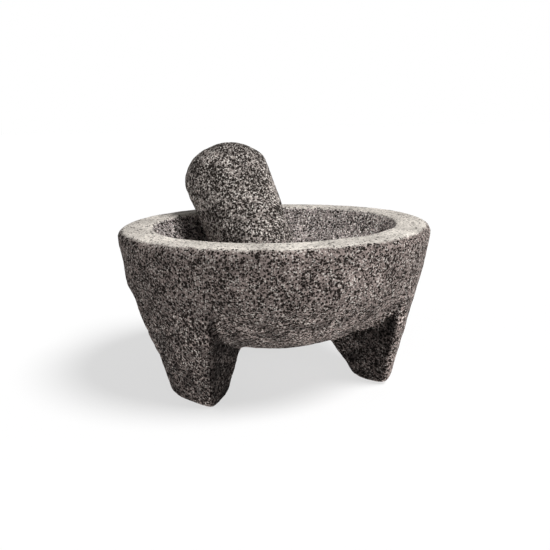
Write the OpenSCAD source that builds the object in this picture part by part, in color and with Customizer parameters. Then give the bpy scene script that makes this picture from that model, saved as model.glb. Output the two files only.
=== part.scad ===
// Molcajete: a three-legged basalt mortar with its loose basalt pestle.
// The bowl and its three legs are cut from one block of stone, so the mortar is one piece.
// Origin: the point on the standing surface below the middle of the bowl. +Z is up.
// The back leg points along +Y.

/* [Bowl] */
// Outside diameter at the rim
rim_d = 203.2; // [190:0.2:220]
// Height of the rim above the standing surface
rim_z = 104; // [99:1:110]
// Width of the flat rim, from the hollow to the outside wall
rim_w = 22; // [18:0.5:25]
// Radius of the rounded outer edge of the rim
rim_round = 5; // [3:0.5:6]
// Lean of the outside wall, in degrees from upright
wall_lean = 11; // [8:1:14]
// Depth of the grinding hollow below the rim
hollow_depth = 55; // [48:1:58]
// Height of the edge where the wall turns under into the belly
belly_edge_z = 69; // [65:1:73]
// Height of the lowest point of the belly
belly_z = 22.5; // [20:0.5:27]

/* [Legs] */
// Bearings of the legs, in degrees from +X; they are cut by hand and aren't quite even
leg_bearings = [90, 210, 335];
// Radius of the circle round the outside of the feet
foot_r = 78; // [73:1:81]
// Width of a leg's outer face at the foot
foot_w = 41; // [34:1:44]
// Lean of a leg's outer face, in degrees from upright, up to the hip
leg_lean = 14; // [11:1:14]
// Height of the hip, above which a leg spreads out to meet the wall
hip_z = 53; // [49:1:57]
// Lean of a leg's inner face, in degrees from upright
leg_inner_lean = 25; // [20:1:28]
// Angle that each side face turns out from straight up, in degrees
leg_flare = 9; // [5:1:12]
// Angle that each side face turns in towards the middle of the bowl, in degrees
leg_taper = 25; // [20:1:28]
// Radius of the circle through the inner ends of the feet
foot_in_r = 54; // [50:1:57]
// Radius of the rounded outer edge of a foot
foot_round = 5; // [3:0.5:6]
// Radius of the rounded inner edge of a foot
foot_in_round = 10; // [6:0.5:11]

/* [Pestle] */
// Length of the pestle, end to end
pestle_len = 109; // [102:1:118]
// Diameter at the grinding end
pestle_low_d = 57; // [54:1:60]
// Diameter at the end held in the hand
pestle_top_d = 60; // [58:0.5:63]
// Height of the dome on the end held in the hand
pestle_dome = 20; // [16:1:24]
// Lean of the pestle from upright, in degrees, as it rests against the rim
pestle_lean = 37; // [35:1:40]
// Bearing that the pestle leans towards, in degrees from +X
pestle_bearing = 108; // [0:1:360]
// Gap left between the resting pestle and the mortar
rest_gap = 0.3; // [0.2:0.1:0.5]

/* [Hidden] */
$fn = 96;
// Straight pieces in each rounded corner of an outline
corner_steps = 6;
// Straight pieces in each domed end of the pestle's outline
dome_steps = 18;
// Step left where the top of a leg meets the wall's lower edge
hip_step = 0.4;
// Longer than the mortar in every direction
beyond = 260;

rim_r = rim_d / 2;
hollow_r = rim_r - rim_w;
// The hollow is part of a ball that meets the rim at hollow_r and the floor at hollow_depth
hollow_ball_r = (pow(hollow_r, 2) + pow(hollow_depth, 2)) / (2 * hollow_depth);
hollow_ball_z = rim_z - hollow_depth + hollow_ball_r;
// The wall is widest just under the rounded edge of the rim
wall_top_z = rim_z - rim_round * (1 - sin(wall_lean));
wall_low_r = rim_r - (wall_top_z - belly_edge_z) * tan(wall_lean);
// The belly is part of a flatter ball that meets the wall at wall_low_r
belly_rise = belly_edge_z - belly_z;
belly_ball_r = (pow(wall_low_r, 2) + pow(belly_rise, 2)) / (2 * belly_rise);

// The pestle's low end is a half ball, and its sides widen evenly up to the dome
low_r = pestle_low_d / 2;
top_r = pestle_top_d / 2;
dome_r = (pow(top_r, 2) + pow(pestle_dome, 2)) / (2 * pestle_dome);
shoulder_z = pestle_len - pestle_dome;
widening = (top_r - low_r) / (shoulder_z - low_r);

// In the upright plane that the pestle leans in, its low ball touches the hollow's ball
// and its underside touches the rim's inner edge. rest_angle is where the low ball's
// centre lies in the hollow, measured at the hollow ball's centre from straight down.
rest_r = hollow_ball_r - low_r - rest_gap;
across = cos(pestle_lean) - widening * sin(pestle_lean);
along = sin(pestle_lean) + widening * cos(pestle_lean);
rest_reach = hollow_r * across - (rim_z - hollow_ball_z) * along - low_r - rest_gap;
rest_angle = asin(rest_reach / (rest_r * norm([across, along]))) - atan2(along, across);
rest_x = rest_r * sin(rest_angle);
rest_z = hollow_ball_z - rest_r * cos(rest_angle);

// Points of an arc about a centre, from one angle to another
function arc(centre, r, from, to, steps) =
    [for (i = [0:steps]) centre + r * [cos(from + (to - from) * i / steps),
                                       sin(from + (to - from) * i / steps)]];

// Solid bowl without its hollow: rounded rim, leaning wall and belly
module bowl_blank() {
    round_c = [rim_r - rim_round * cos(wall_lean), rim_z - rim_round];
    outline = concat(
        [[0, belly_z], [wall_low_r - belly_rise * tan(wall_lean), belly_z]],
        arc(round_c, rim_round, -wall_lean, 90, corner_steps),
        [[0, rim_z]]);
    intersection() {
        rotate_extrude() polygon(outline);
        translate([0, 0, belly_z + belly_ball_r]) sphere(r = belly_ball_r);
    }
}

// Ring that all three legs are cut from: leaning outer and inner faces and rounded feet
module leg_ring() {
    out_c = foot_r + foot_round * (tan(leg_lean) - 1 / cos(leg_lean));
    in_c = foot_in_r - foot_in_round * (tan(leg_inner_lean) - 1 / cos(leg_inner_lean));
    outline = concat(
        arc([out_c, foot_round], foot_round, -90, -leg_lean, corner_steps),
        [[foot_r + hip_z * tan(leg_lean), hip_z],
         [wall_low_r - hip_step, belly_edge_z],
         [foot_in_r - belly_edge_z * tan(leg_inner_lean), belly_edge_z]],
        arc([in_c, foot_in_round], foot_in_round, 180 + leg_inner_lean, 270, corner_steps));
    rotate_extrude() polygon(outline);
}

// Everything on the leg's side of one of its side faces, for a leg along +X
module leg_side() {
    translate([foot_r, foot_w / 2, 0])
        rotate([0, 0, leg_taper])
            rotate([-leg_flare, 0, 0])
                translate([-beyond, -beyond, -beyond])
                    cube([2 * beyond, beyond, 2 * beyond]);
}

module leg(bearing) {
    rotate([0, 0, bearing]) intersection() {
        leg_ring();
        leg_side();
        mirror([0, 1, 0]) leg_side();
        translate([0, -beyond / 2, -1]) cube(beyond);
    }
}

// Mortar: bowl and three legs, cut from one block
module mortar() {
    color("dimgray") difference() {
        union() {
            bowl_blank();
            for (bearing = leg_bearings) leg(bearing);
        }
        translate([0, 0, hollow_ball_z]) sphere(r = hollow_ball_r);
    }
}

// Pestle, standing on its low end at the origin
module pestle_upright() {
    dome_half = asin(top_r / dome_r);
    outline = concat(
        arc([0, low_r], low_r, -90, 0, dome_steps),
        arc([0, pestle_len - dome_r], dome_r, 90 - dome_half, 90, dome_steps));
    rotate_extrude() polygon(outline);
}

// Pestle, resting in the hollow and leaning on the rim
module pestle() {
    color("gray")
        rotate([0, 0, pestle_bearing])
            translate([rest_x, 0, rest_z])
                rotate([0, pestle_lean, 0])
                    translate([0, 0, -low_r])
                        pestle_upright();
}

mortar();
pestle();
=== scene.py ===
"""Looks of the molcajete: a carved basalt mortar and its pestle, cut into the CAD solids' own surfaces.

Each CAD node's surface is remeshed into an even grid and its edges are worn round. Then bulges, the
unevenness of hand carving and pits are worked into it. The finer pores are part of the material.
All lengths are in metres, in the CAD's frame.
"""

import math

import bpy
import numpy as np
from mathutils import Matrix, Vector, noise


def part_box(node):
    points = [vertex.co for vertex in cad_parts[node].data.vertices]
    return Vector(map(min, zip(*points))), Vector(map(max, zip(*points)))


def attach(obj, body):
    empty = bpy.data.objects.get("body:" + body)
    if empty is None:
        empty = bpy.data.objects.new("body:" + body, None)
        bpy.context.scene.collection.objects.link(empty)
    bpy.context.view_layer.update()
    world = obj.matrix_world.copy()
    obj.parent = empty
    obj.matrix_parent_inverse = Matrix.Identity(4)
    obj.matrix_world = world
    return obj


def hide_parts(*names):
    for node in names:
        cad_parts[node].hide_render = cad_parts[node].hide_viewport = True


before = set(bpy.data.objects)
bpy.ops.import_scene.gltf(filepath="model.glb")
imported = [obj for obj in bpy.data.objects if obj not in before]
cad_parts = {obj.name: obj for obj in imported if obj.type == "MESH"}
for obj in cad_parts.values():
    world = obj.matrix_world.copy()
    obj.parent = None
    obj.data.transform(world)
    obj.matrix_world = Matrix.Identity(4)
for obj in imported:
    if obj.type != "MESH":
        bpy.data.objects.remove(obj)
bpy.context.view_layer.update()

MM = 0.001

# ---------------------------------------------------------------- sizes and places

mortar_low, mortar_high = (np.array(c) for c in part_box("mortar"))
pestle_high = np.array(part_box("pestle")[1])
RIM_R = (mortar_high[0] - mortar_low[0]) / 2
RIM_Z = mortar_high[2]
RIM_W = 22 * MM           # from the hollow to the outside wall
LEG_TOP_Z = 0.66 * RIM_Z  # where the wall turns under into the belly
LEG_BEARINGS = np.radians([90, 210, 335])
GROUND_MOST = np.radians(265)     # the side of the rim that is ground smoothest
LIT_BEARING = math.radians(-20)  # the side that painted light makes paler; the stone is painted darker away from it
LIT_SIDE = np.array([math.cos(LIT_BEARING), math.sin(LIT_BEARING)])

# Spacing of the remeshed grids
MORTAR_GRID = 1.15 * MM
PESTLE_GRID = 0.8 * MM

# Rounds of smoothing
MORTAR_WEAR = 24
PESTLE_WEAR = 20
PESTLE_TOP_WEAR = 60
HIP_FILL = 80     # how wide the filled corners at the hips are
EDGE_ROUNDS = 6   # how wide the surroundings are that the "edge" attribute compares a point with

# Where the photograph's outline bulges: rise in mm, then bearing, radius, height and reach for hump()
BULGES = (
    (3.8, 181, 0.9 * RIM_R, 0.49 * RIM_Z, 40 * MM),   # the left hip
    (4.0, 335, 0.41 * RIM_R, 0.28 * RIM_Z, 24 * MM),  # the inner side of the right leg
)


# ---------------------------------------------------------------- surfaces as arrays

class Surface:
    """A quad mesh as arrays, with the few operations that carving needs."""

    def __init__(self, node, voxel):
        source = bpy.data.objects.new("remesh_source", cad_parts[node].data.copy())
        bpy.context.scene.collection.objects.link(source)
        remesh = source.modifiers.new("even_grid", "REMESH")
        remesh.mode = "VOXEL"
        remesh.voxel_size = voxel
        graph = bpy.context.evaluated_depsgraph_get()
        mesh = bpy.data.meshes.new_from_object(source.evaluated_get(graph))
        bpy.data.objects.remove(source)
        self.points = np.empty(len(mesh.vertices) * 3)
        mesh.vertices.foreach_get("co", self.points)
        self.points = self.points.reshape(-1, 3)
        edges = np.empty(len(mesh.edges) * 2, np.int32)
        mesh.edges.foreach_get("vertices", edges)
        self.edges = edges.reshape(-1, 2)
        self.degree = np.bincount(edges, minlength=len(self.points))
        self.faces = [tuple(p.vertices) for p in mesh.polygons]
        self.corners = np.array([f for f in self.faces if len(f) == 4])
        bpy.data.meshes.remove(mesh)

    def neighbour_mean(self, values):
        """Mean of a value, or of points, over each vertex's neighbours."""
        values = values.reshape(len(self.points), -1)
        a, b = self.edges.T
        count = len(self.points)
        total = np.stack([np.bincount(a, column[b], count) + np.bincount(b, column[a], count)
                          for column in values.T], axis=1)
        return total / self.degree[:, None]

    def smooth(self, rounds, weight):
        """Wears edges round: each point moves part of the way to its neighbours' mean, rounds times."""
        step = 0.5 * np.asarray(weight).reshape(-1, 1)
        for _ in range(rounds):
            self.points += step * (self.neighbour_mean(self.points) - self.points)

    def normals(self):
        """Unit vectors pointing out of the surface at each point."""
        p = self.points[self.corners]
        across = np.cross(p[:, 2] - p[:, 0], p[:, 3] - p[:, 1])
        total = np.zeros_like(self.points)
        for corner in self.corners.T:
            for axis in range(3):
                total[:, axis] += np.bincount(corner, across[:, axis], len(total))
        return total / np.maximum(np.linalg.norm(total, axis=1, keepdims=True), 1e-12)

    def relief(self, rounds):
        """How far each point stands above its surroundings: positive on edges, negative in pits."""
        worn = self.points
        for _ in range(rounds):
            worn = worn + 0.5 * (self.neighbour_mean(worn) - worn)
        return ((self.points - worn) * self.normals()).sum(1)

    def fill_corners(self, rounds, weight):
        """Fills inward corners with a curve: wider for more rounds, fuller for more weight."""
        self.points -= self.normals() * (np.minimum(self.relief(rounds), 0) * weight)[:, None]
        self.smooth(8, np.minimum(weight, 1))

    def to_object(self, name, attributes):
        """The finished piece, with one number per point for each attribute."""
        mesh = bpy.data.meshes.new(name)
        mesh.from_pydata(self.points.tolist(), [], self.faces)
        for key, values in attributes.items():
            layer = mesh.attributes.new(key, "FLOAT", "POINT")
            layer.data.foreach_set("value", np.asarray(values, np.float32))
        mesh.shade_smooth()
        piece = bpy.data.objects.new(name, mesh)
        bpy.context.scene.collection.objects.link(piece)
        return piece


def step(values, start, end):
    """0 before start, 1 after end, and a smooth rise between."""
    t = np.clip((values - start) / (end - start), 0, 1)
    return t * t * (3 - 2 * t)


def swell(points, wavelength, offset=0.0):
    """Smooth noise from about -1 to 1 with that distance between its swells."""
    shift = Vector((offset, 2 * offset, 3 * offset))
    return np.array([noise.noise(Vector(p) / wavelength + shift) for p in points])


def pits(points, spacing, radius, offset=0.0):
    """Depth from 0 to 1 of round pits, one to each cell about spacing wide, with radii up to radius."""
    shift = Vector((offset, -offset, 2 * offset))
    depth = np.zeros(len(points))
    for i, p in enumerate(points):
        reach, centres = noise.voronoi(Vector(p) / spacing + shift)
        size = abs(noise.cell(centres[0] * 31.7)) * radius / spacing
        if reach[0] < size:
            depth[i] = 1 - (reach[0] / size) ** 2
    return depth


def hump(points, bearing, radius, height, reach):
    """1 at a place given by its bearing in degrees, radius and height, falling smoothly to 0 at reach."""
    b = math.radians(bearing)
    place = np.array([math.cos(b) * radius, math.sin(b) * radius, height])
    return np.maximum(1 - (((points - place) / reach) ** 2).sum(1), 0) ** 2


def along_leg(points):
    """Unit vectors, level, along the leg nearest to each point."""
    ways = np.stack([np.cos(LEG_BEARINGS), np.sin(LEG_BEARINGS)], axis=1)
    return ways[(points[:, :2] @ ways.T).argmax(1)]


# ---------------------------------------------------------------- carving

def carve(surface, rough, proud):
    """Adds hand-worked unevenness and tool marks, and cuts pores.

    rough is 0 where stone is ground and 1 elsewhere. proud is how far out the surface moves as a whole.
    The result stays in the box that the surface had.
    """
    normal = surface.normals()
    p = surface.points
    hewn_low = 1 - step(p[:, 2], LEG_TOP_Z - 12 * MM, LEG_TOP_Z + 12 * MM)

    # Each layer is a depth times noise with swells, or pits, that far apart. A last number shifts the noise.
    uneven = 0.45 * MM * swell(p, 38 * MM) + (0.22 + 0.3 * hewn_low) * MM * swell(p, 13 * MM, 5)
    tooled = 0.22 * MM * rough * swell(p, 5 * MM, 9)
    grain = 0.16 * MM * rough * swell(p, 2.1 * MM, 3)
    large = 1.0 * MM * rough * pits(p, 9 * MM, 2.4 * MM, 2)
    small = 0.75 * MM * (0.25 + 0.75 * rough) * pits(p, 3.6 * MM, 1.7 * MM)
    carved = p + normal * (uneven + tooled + grain + proud - large - small)[:, None]
    low, high = p.min(0), p.max(0)
    surface.points = np.clip(carved, low, high)


def make_mortar():
    """The mortar, with the attributes that its material reads.

    ground, sole and hollow are 1 on the ground rim, under the feet and in the hollow. hewn is 1 on the
    undersides and paints shade there, low is 1 below the wall, and open_stone is 1 where pores are wider.
    pale goes from about -1 to 1 across the block and paints light on its lit side and shade on the other
    side. edge is the height in mm above the surroundings.
    """
    s = Surface("mortar", MORTAR_GRID)
    leg = 1 - step(s.points[:, 2], LEG_TOP_Z, LEG_TOP_Z + 16 * MM)
    worn_lip = 0.55 * step(s.points[:, 2], RIM_Z - 6 * MM, RIM_Z - 2 * MM)
    s.smooth(MORTAR_WEAR, np.maximum(0.12 + 0.88 * leg, worn_lip))
    s.points[:, 2] += mortar_low[2] - s.points[:, 2].min()
    proud = sum(rise * hump(s.points, *place) for rise, *place in BULGES)
    s.points += s.normals() * (proud * MM)[:, None]
    hip = step(s.points[:, 2], 0.34 * RIM_Z, 0.5 * RIM_Z)
    hip = hip * (1 - step(s.points[:, 2], 0.72 * RIM_Z, 0.86 * RIM_Z))
    s.fill_corners(HIP_FILL, 1.7 * hip)

    z = s.points[:, 2]
    radius = np.linalg.norm(s.points[:, :2], axis=1)
    normal = s.normals()
    up = normal[:, 2]
    ragged = 1.1 * MM * swell(s.points, 3 * MM, 4) + 1.2 * MM * swell(s.points, 11 * MM, 6)
    ground = step(up, 0.6, 0.95) * step(z, RIM_Z - 5 * MM, RIM_Z - 2 * MM)
    ground *= 1 - step(radius + ragged, RIM_R - 3.5 * MM, RIM_R - 1 * MM)
    bearing = np.arctan2(s.points[:, 1], s.points[:, 0])
    ground *= 0.88 + 0.12 * np.cos(bearing - GROUND_MOST)
    # Painted light: the block is painted paler towards the lit side and darker away from it, except on the
    # ground rim
    pale = (1 - 1.15 * ground) * (s.points[:, :2] @ LIT_SIDE) / RIM_R

    # Painted shade: undersides and inner faces are darkened where the belly's shadow falls, but a leg's
    # outer face stays lit, more of it on the painted lit side
    outward = (normal[:, :2] * along_leg(s.points)).sum(1)
    under_shade = step(up, -0.58, -0.48) * (1 - step(outward, 0.55, 0.8))
    under_shade *= 1 - step(z, LEG_TOP_Z - 8 * MM, LEG_TOP_Z + 2 * MM)
    lit = np.where(pale > 0, 0.735, 0.81) * RIM_R + 0.25 * z
    under_shade *= 1 - step(radius - lit, -2 * MM, 3 * MM)
    pale *= 1 - 1.3 * under_shade

    low = 1 - step(z, LEG_TOP_Z - 14 * MM, LEG_TOP_Z + 8 * MM)
    sole = step(-up, 0.8, 0.98) * (1 - step(z, 0.5 * MM, 2.5 * MM))
    hollow_r = RIM_R - RIM_W
    hollow = step(up, -0.05, 0.25) * (1 - ground) * (1 - step(radius, hollow_r, hollow_r + 2 * MM))
    hollow *= step(z, 0.3 * RIM_Z, 0.4 * RIM_Z)
    open_stone = np.maximum(low, step(-pale, 0.2, 0.8))

    # The hollow is cut back so that the resting pestle stays clear of it
    carve(s, 1 - np.maximum(ground, sole), (0.2 - 0.75 * hollow) * MM)
    s.points[:, 2] = np.maximum(s.points[:, 2], mortar_low[2])
    edge = s.relief(EDGE_ROUNDS) / MM
    return s.to_object("mortar_stone", {"ground": ground, "sole": sole, "hollow": hollow, "under_shade": under_shade,
                                        "edge": edge, "pale": pale, "low": low,
                                        "open_stone": open_stone})


def make_pestle():
    """The pestle, with the same attributes. Its hand end at the top is darkened with painted shade."""
    s = Surface("pestle", PESTLE_GRID)
    s.smooth(PESTLE_WEAR, 1.0)
    body = step(pestle_high[2] - s.points[:, 2], 2 * MM, 14 * MM)
    s.smooth(PESTLE_TOP_WEAR, 1 - body)

    # Above the rim it is fuller, as the photograph shows, and below it stays clear of the hollow
    above = step(s.points[:, 2], RIM_Z, RIM_Z + 12 * MM)
    carve(s, np.ones(len(s.points)), (1.3 * above * body - 0.4) * MM)
    edge = s.relief(EDGE_ROUNDS) / MM
    zero = np.zeros(len(s.points))
    # Painted shade on the pestle's top
    top_shade = -0.6 * step(s.points[:, 2], 0.72 * pestle_high[2], 0.95 * pestle_high[2])
    return s.to_object("pestle_stone", {"ground": zero, "sole": zero, "hollow": zero, "under_shade": zero,
                                        "edge": edge, "pale": top_shade, "low": zero,
                                        "open_stone": zero})


# ---------------------------------------------------------------- basalt

class Nodes:
    """Short forms for building a material's node tree."""

    def __init__(self, name):
        self.material = bpy.data.materials.new(name)
        self.material.use_nodes = True
        self.tree = self.material.node_tree
        self.tree.nodes.clear()

    def add(self, kind, inputs=(), **settings):
        """A new node with those settings. Each input is a value or another node's socket."""
        made = self.tree.nodes.new(kind)
        for key, value in settings.items():
            setattr(made, key, value)
        for key, value in dict(inputs).items():
            if isinstance(value, bpy.types.NodeSocket):
                self.tree.links.new(value, made.inputs[key])
            else:
                made.inputs[key].default_value = value
        return made

    def math(self, operation, a, b=0.0, c=1.0):
        return self.add("ShaderNodeMath", {0: a, 1: b, 2: c}, operation=operation).outputs[0]

    def ramp(self, value, start, end, low=0.0, high=1.0):
        """low at start, high at end, and smooth between. start may be the greater of the two."""
        made = self.add("ShaderNodeMapRange", {"Value": value, "From Min": start, "From Max": end,
                                               "To Min": low, "To Max": high},
                        interpolation_type="SMOOTHSTEP")
        return made.outputs["Result"]

    def mix(self, amount, a, b):
        """Colour a where amount is 0, and colour b where it is 1."""
        made = self.tree.nodes.new("ShaderNodeMix")
        made.data_type = "RGBA"
        sockets = [i for i in made.inputs if i.enabled]
        for socket, value in zip(sockets, (amount, a, b)):
            if isinstance(value, bpy.types.NodeSocket):
                self.tree.links.new(value, socket)
            else:
                socket.default_value = value
        return [o for o in made.outputs if o.enabled][0]

    def noise(self, where, size, detail=2.0, roughness=0.5):
        """Noise whose swells are about size metres across."""
        made = self.add("ShaderNodeTexNoise", {"Vector": where, "Scale": 1 / size, "Detail": detail,
                                               "Roughness": roughness})
        return made.outputs["Fac"]

    def cells(self, where, size):
        """Distance to, and two random numbers of, the nearest of points about size metres apart."""
        made = self.add("ShaderNodeTexVoronoi", {"Vector": where, "Scale": 1 / size})
        number = self.add("ShaderNodeSeparateColor", {"Color": made.outputs["Color"]})
        return made.outputs["Distance"], number.outputs[0], number.outputs[1]

    def pores(self, where, size, share, widest):
        """Depth from 0 to 1 of round pores, in that share of the cells about size metres apart.

        widest is the greatest radius of a pore, in cells.
        """
        distance, chance, width = self.cells(where, size)
        reach = self.math("MULTIPLY", self.ramp(width, 0.0, 1.0, 0.6, 1.0), widest)
        hole = self.ramp(self.math("DIVIDE", distance, reach), 1.02, 0.76)
        threshold = self.math("SUBTRACT", 1.0, share)
        is_open = self.math("GREATER_THAN", chance, threshold)
        return self.math("MULTIPLY", hole, is_open)

    def attribute(self, name):
        """One of the numbers that to_object stored at each point."""
        return self.add("ShaderNodeAttribute", attribute_name=name).outputs["Fac"]


def warm(level, red=1.15, blue=0.92):
    """A warm grey of that linear level."""
    return (level * red, level, level * blue, 1.0)


def basalt(name, level, red, pore_size, pore_width, sparkle):
    """Vesicular basalt: grey stone full of dark pores, with pale crystals and paler worn edges.

    level and red are the stone's brightness and warmth, pore_size and pore_width the spacing and radius
    of its pores, and sparkle the share of cells that hold a crystal.
    """
    n = Nodes(name)
    where = n.add("ShaderNodeTexCoord").outputs["Object"]

    # place is where, bent a little so that pores aren't perfectly round
    bend = n.add("ShaderNodeTexNoise", {"Vector": where, "Scale": 1 / (1.8 * MM), "Detail": 1.0})
    bent = n.add("ShaderNodeVectorMath", {0: bend.outputs["Color"]}, operation="SCALE")
    bent.inputs["Scale"].default_value = 1.3 * MM
    place = n.add("ShaderNodeVectorMath", {0: where, 1: bent.outputs[0]}, operation="ADD").outputs[0]

    ground = n.attribute("ground")
    sole = n.attribute("sole")
    hollow = n.attribute("hollow")
    under_shade = n.attribute("under_shade")
    edge = n.attribute("edge")
    pale = n.attribute("pale")
    low = n.attribute("low")
    open_stone = n.attribute("open_stone")
    smooth_stone = n.math("MAXIMUM", ground, sole)

    # Pores, more of them in some patches of the stone than in others
    patches = n.noise(where, 11 * MM, 2.0)
    patch = n.ramp(patches, 0.35, 0.65, 0.55, 0.95)
    closed = n.math("SUBTRACT", 1.0, n.math("MULTIPLY", smooth_stone, 0.74))
    share = n.math("MULTIPLY", patch, closed)
    wide = n.ramp(open_stone, 0.0, 1.0, pore_width, 1.16 * pore_width)
    coarse = n.pores(place, pore_size, share, wide)
    fine = n.pores(where, 0.66 * pore_size, n.math("MULTIPLY", share, 0.75), 0.95 * pore_width)
    often = n.ramp(low, 0.0, 1.0, 0.14, 0.4)
    rare = n.pores(place, 2.3 * pore_size, n.math("MULTIPLY", share, often), 0.4)
    pore = n.math("MAXIMUM", n.math("MAXIMUM", coarse, fine), rare)

    # Pale crystals between the pores
    distance, chance, _ = n.cells(where, 0.7 * pore_size)
    has_crystal = n.math("GREATER_THAN", chance, 1 - sparkle)
    crystal = n.math("MULTIPLY", n.ramp(distance, 0.52, 0.4), has_crystal)

    # Colour: rough stone, then ground stone over it, then soles, then pores
    grain = n.noise(where, 1.0 * MM, 3.0, 0.6)
    _, grit, _ = n.cells(where, 0.8 * MM)
    cloud = n.noise(where, 26 * MM, 3.0)
    stone = n.mix(n.ramp(grit, 0.1, 0.9), warm(level * 1.2, red, 0.92), warm(level * 2.5, red, 0.92))
    stone = n.mix(n.math("MULTIPLY", crystal, 0.75), stone, warm(level * 6.5, 1.06, 0.93))
    stone = n.mix(n.ramp(edge, 0.02, 0.35, 0.0, 0.4), stone, warm(level * 3.4, red, 0.92))
    # Painted shade: points lying below their surroundings, in pits and creases, are darkened
    stone = n.mix(n.ramp(edge, -0.05, -0.5, 0.0, 0.7), stone, warm(level * 0.1))
    dust = n.mix(n.ramp(grain, 0.3, 0.7), warm(level * 8.2, 1.07, 0.91), warm(level * 9.6, 1.07, 0.91))
    dust = n.mix(n.ramp(grit, 0.2, 0.9, 0.0, 0.75), warm(level * 5.8, 1.08, 0.9), dust)
    dust = n.mix(n.math("MULTIPLY", crystal, 0.5), dust, warm(level * 12.0, 1.06, 0.92))
    stone = n.mix(ground, stone, dust)
    stone = n.mix(n.math("MULTIPLY", sole, 0.5), stone, warm(level * 2.2))
    stone = n.mix(n.math("MULTIPLY", pore, 0.96), stone, warm(level * 0.07, 1.3, 0.8))

    # Brightness, as a factor on that colour
    # Painted shade darkens the undersides and the legs' inner faces, where the belly's shadow falls
    value = n.math("MULTIPLY", n.ramp(cloud, 0.3, 0.7, 0.82, 1.18), n.ramp(under_shade, 0.0, 1.0, 1.0, 0.26))
    value = n.math("MULTIPLY", value, n.ramp(hollow, 0.0, 1.0, 1.0, 2.0))
    # Painted light and shade across the block, and painted shade on the pestle's top
    value = n.math("MULTIPLY", value, n.ramp(pale, -1.0, 1.0, 0.7, 1.4))
    # Painted light on the hollow towards the lit side
    value = n.math("MULTIPLY", value, n.ramp(n.math("MULTIPLY", hollow, pale), 0.2, 0.8, 1.0, 1.55))
    value = n.math("MULTIPLY", value, n.ramp(open_stone, 0.0, 1.0, 1.0, 1.3))
    mottle = n.ramp(patches, 0.35, 0.65, -0.55, 0.55)
    value = n.math("MULTIPLY", value, n.math("MULTIPLY_ADD", low, mottle))
    greyer = n.ramp(hollow, 0.0, 1.0, 1.0, 0.7)
    tone = n.add("ShaderNodeHueSaturation", {"Color": stone, "Value": value, "Saturation": greyer})

    relief = n.math("MULTIPLY", grain, n.ramp(smooth_stone, 0.0, 1.0, 0.5, 0.12))
    height = n.math("SUBTRACT", relief, pore)
    bump = n.add("ShaderNodeBump", {"Height": height, "Strength": 1.0, "Distance": 0.6 * MM})
    rough = n.ramp(smooth_stone, 0.0, 1.0, 0.95, 0.72)
    shader = n.add("ShaderNodeBsdfPrincipled", {"Base Color": tone.outputs["Color"], "Roughness": rough,
                                                "Normal": bump.outputs["Normal"]})
    shader.inputs["Specular IOR Level"].default_value = 0.03
    n.add("ShaderNodeOutputMaterial", {"Surface": shader.outputs["BSDF"]})
    return n.material


# ---------------------------------------------------------------- stage

def make_floor():
    """A white table lit a little from below, so that shadows on it stay pale."""
    half = 12.0
    corners = [(-half, -half, 0), (half, -half, 0), (half, half, 0), (-half, half, 0)]
    mesh = bpy.data.meshes.new("floor")
    mesh.from_pydata(corners, [], [(0, 1, 2, 3)])
    floor = bpy.data.objects.new("floor", mesh)
    bpy.context.scene.collection.objects.link(floor)
    n = Nodes("pale_floor")
    where = n.add("ShaderNodeTexCoord").outputs["Object"]
    shade = n.mix(n.noise(where, 0.4), (0.29, 0.29, 0.29, 1), (0.31, 0.31, 0.31, 1))
    shader = n.add("ShaderNodeBsdfPrincipled", {"Base Color": shade})
    shader.inputs["Roughness"].default_value = 0.9
    shader.inputs["Specular IOR Level"].default_value = 0.0
    shader.inputs["Emission Color"].default_value = (1.0, 1.0, 1.0, 1.0)
    shader.inputs["Emission Strength"].default_value = 0.63
    n.add("ShaderNodeOutputMaterial", {"Surface": shader.outputs["BSDF"]})
    mesh.materials.append(n.material)


def aim(position, target):
    """Matrix of something at position that looks at target."""
    ahead = Vector(target) - Vector(position)
    return Matrix.Translation(position) @ ahead.to_track_quat("-Z", "Y").to_matrix().to_4x4()


def make_light(name, bearing, height, spread, strength):
    """A distant soft light. Its bearing from +X, height above the floor and spread are in degrees."""
    b, h = math.radians(bearing), math.radians(height)
    position = Vector((math.cos(b) * math.cos(h), math.sin(b) * math.cos(h), math.sin(h)))
    light = bpy.data.objects.new(name, bpy.data.lights.new(name, "SUN"))
    light.data.angle = math.radians(spread)
    light.data.energy = strength
    light.matrix_world = aim(position, Vector((0, 0, 0)))
    bpy.context.scene.collection.objects.link(light)


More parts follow.
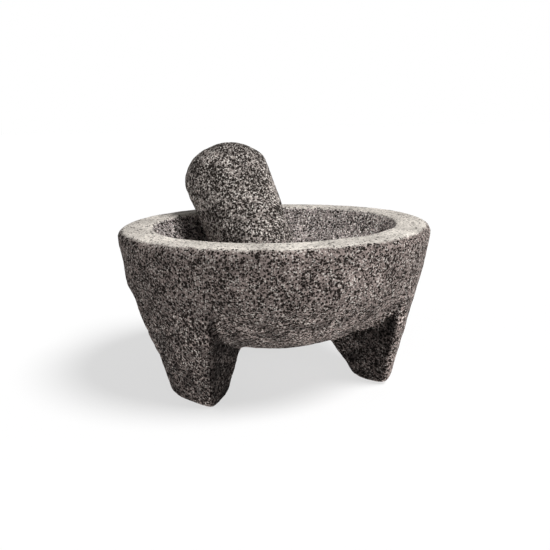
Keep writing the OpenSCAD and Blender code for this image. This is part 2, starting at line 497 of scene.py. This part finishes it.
def make_world():
    """A room that is white along the horizon and dimmer overhead."""
    white_to, dim_from = 0.33, 0.5  # heights, as the sine of the angle above the floor
    overhead = 0.1
    world = bpy.data.worlds.new("studio")
    world.use_nodes = True
    tree = world.node_tree
    background = tree.nodes["Background"]
    way = tree.nodes.new("ShaderNodeTexCoord")
    height = tree.nodes.new("ShaderNodeSeparateXYZ")
    fade = tree.nodes.new("ShaderNodeMapRange")
    fade.interpolation_type = "SMOOTHSTEP"
    limits = {"From Min": white_to, "From Max": dim_from, "To Min": 1.0, "To Max": overhead}
    for key, value in limits.items():
        fade.inputs[key].default_value = value
    tree.links.new(way.outputs["Generated"], height.inputs[0])
    tree.links.new(height.outputs["Z"], fade.inputs["Value"])
    tree.links.new(fade.outputs["Result"], background.inputs["Strength"])
    background.inputs["Color"].default_value = (1.0, 1.0, 1.0, 1.0)
    bpy.context.scene.world = world


def make_camera():
    """Camera at the photograph's viewpoint: bearing, distance, height and tilts in the CAD's frame."""
    azimuth = math.radians(-15.0)
    distance, height = 4.53 * RIM_R, 1.68 * RIM_R
    down, roll = math.radians(12.6), math.radians(-1.16)
    ahead = Vector((-math.sin(azimuth) * math.cos(down),
                    math.cos(azimuth) * math.cos(down), -math.sin(down)))
    level = ahead.cross(Vector((0, 0, 1))).normalized()
    top = level.cross(ahead)
    right = level * math.cos(roll) + top * math.sin(roll)
    up = top * math.cos(roll) - level * math.sin(roll)
    turn = Matrix((right, up, -ahead)).transposed().to_4x4()
    camera = bpy.data.objects.new("camera", bpy.data.cameras.new("camera"))
    camera.data.sensor_width = 36
    camera.data.lens = 45.7
    camera.data.clip_start = 0.01
    position = (math.sin(azimuth) * distance, -math.cos(azimuth) * distance, height)
    camera.matrix_world = Matrix.Translation(position) @ turn
    bpy.context.scene.collection.objects.link(camera)
    bpy.context.scene.camera = camera


make_camera()
make_world()
make_floor()
make_light("key", bearing=-42, height=57, spread=24, strength=3.8)
bpy.context.scene.view_settings.view_transform = "Standard"

mortar = make_mortar()
mortar.data.materials.append(basalt("mortar_basalt", level=0.074, red=1.22, pore_size=1.5 * MM,
                                    pore_width=0.59, sparkle=0.35))
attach(mortar, "mortar")
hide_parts("mortar")

pestle = make_pestle()
pestle.data.materials.append(basalt("pestle_basalt", level=0.128, red=1.14, pore_size=1.6 * MM,
                                    pore_width=0.71, sparkle=0.5))
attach(pestle, "pestle")
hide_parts("pestle")
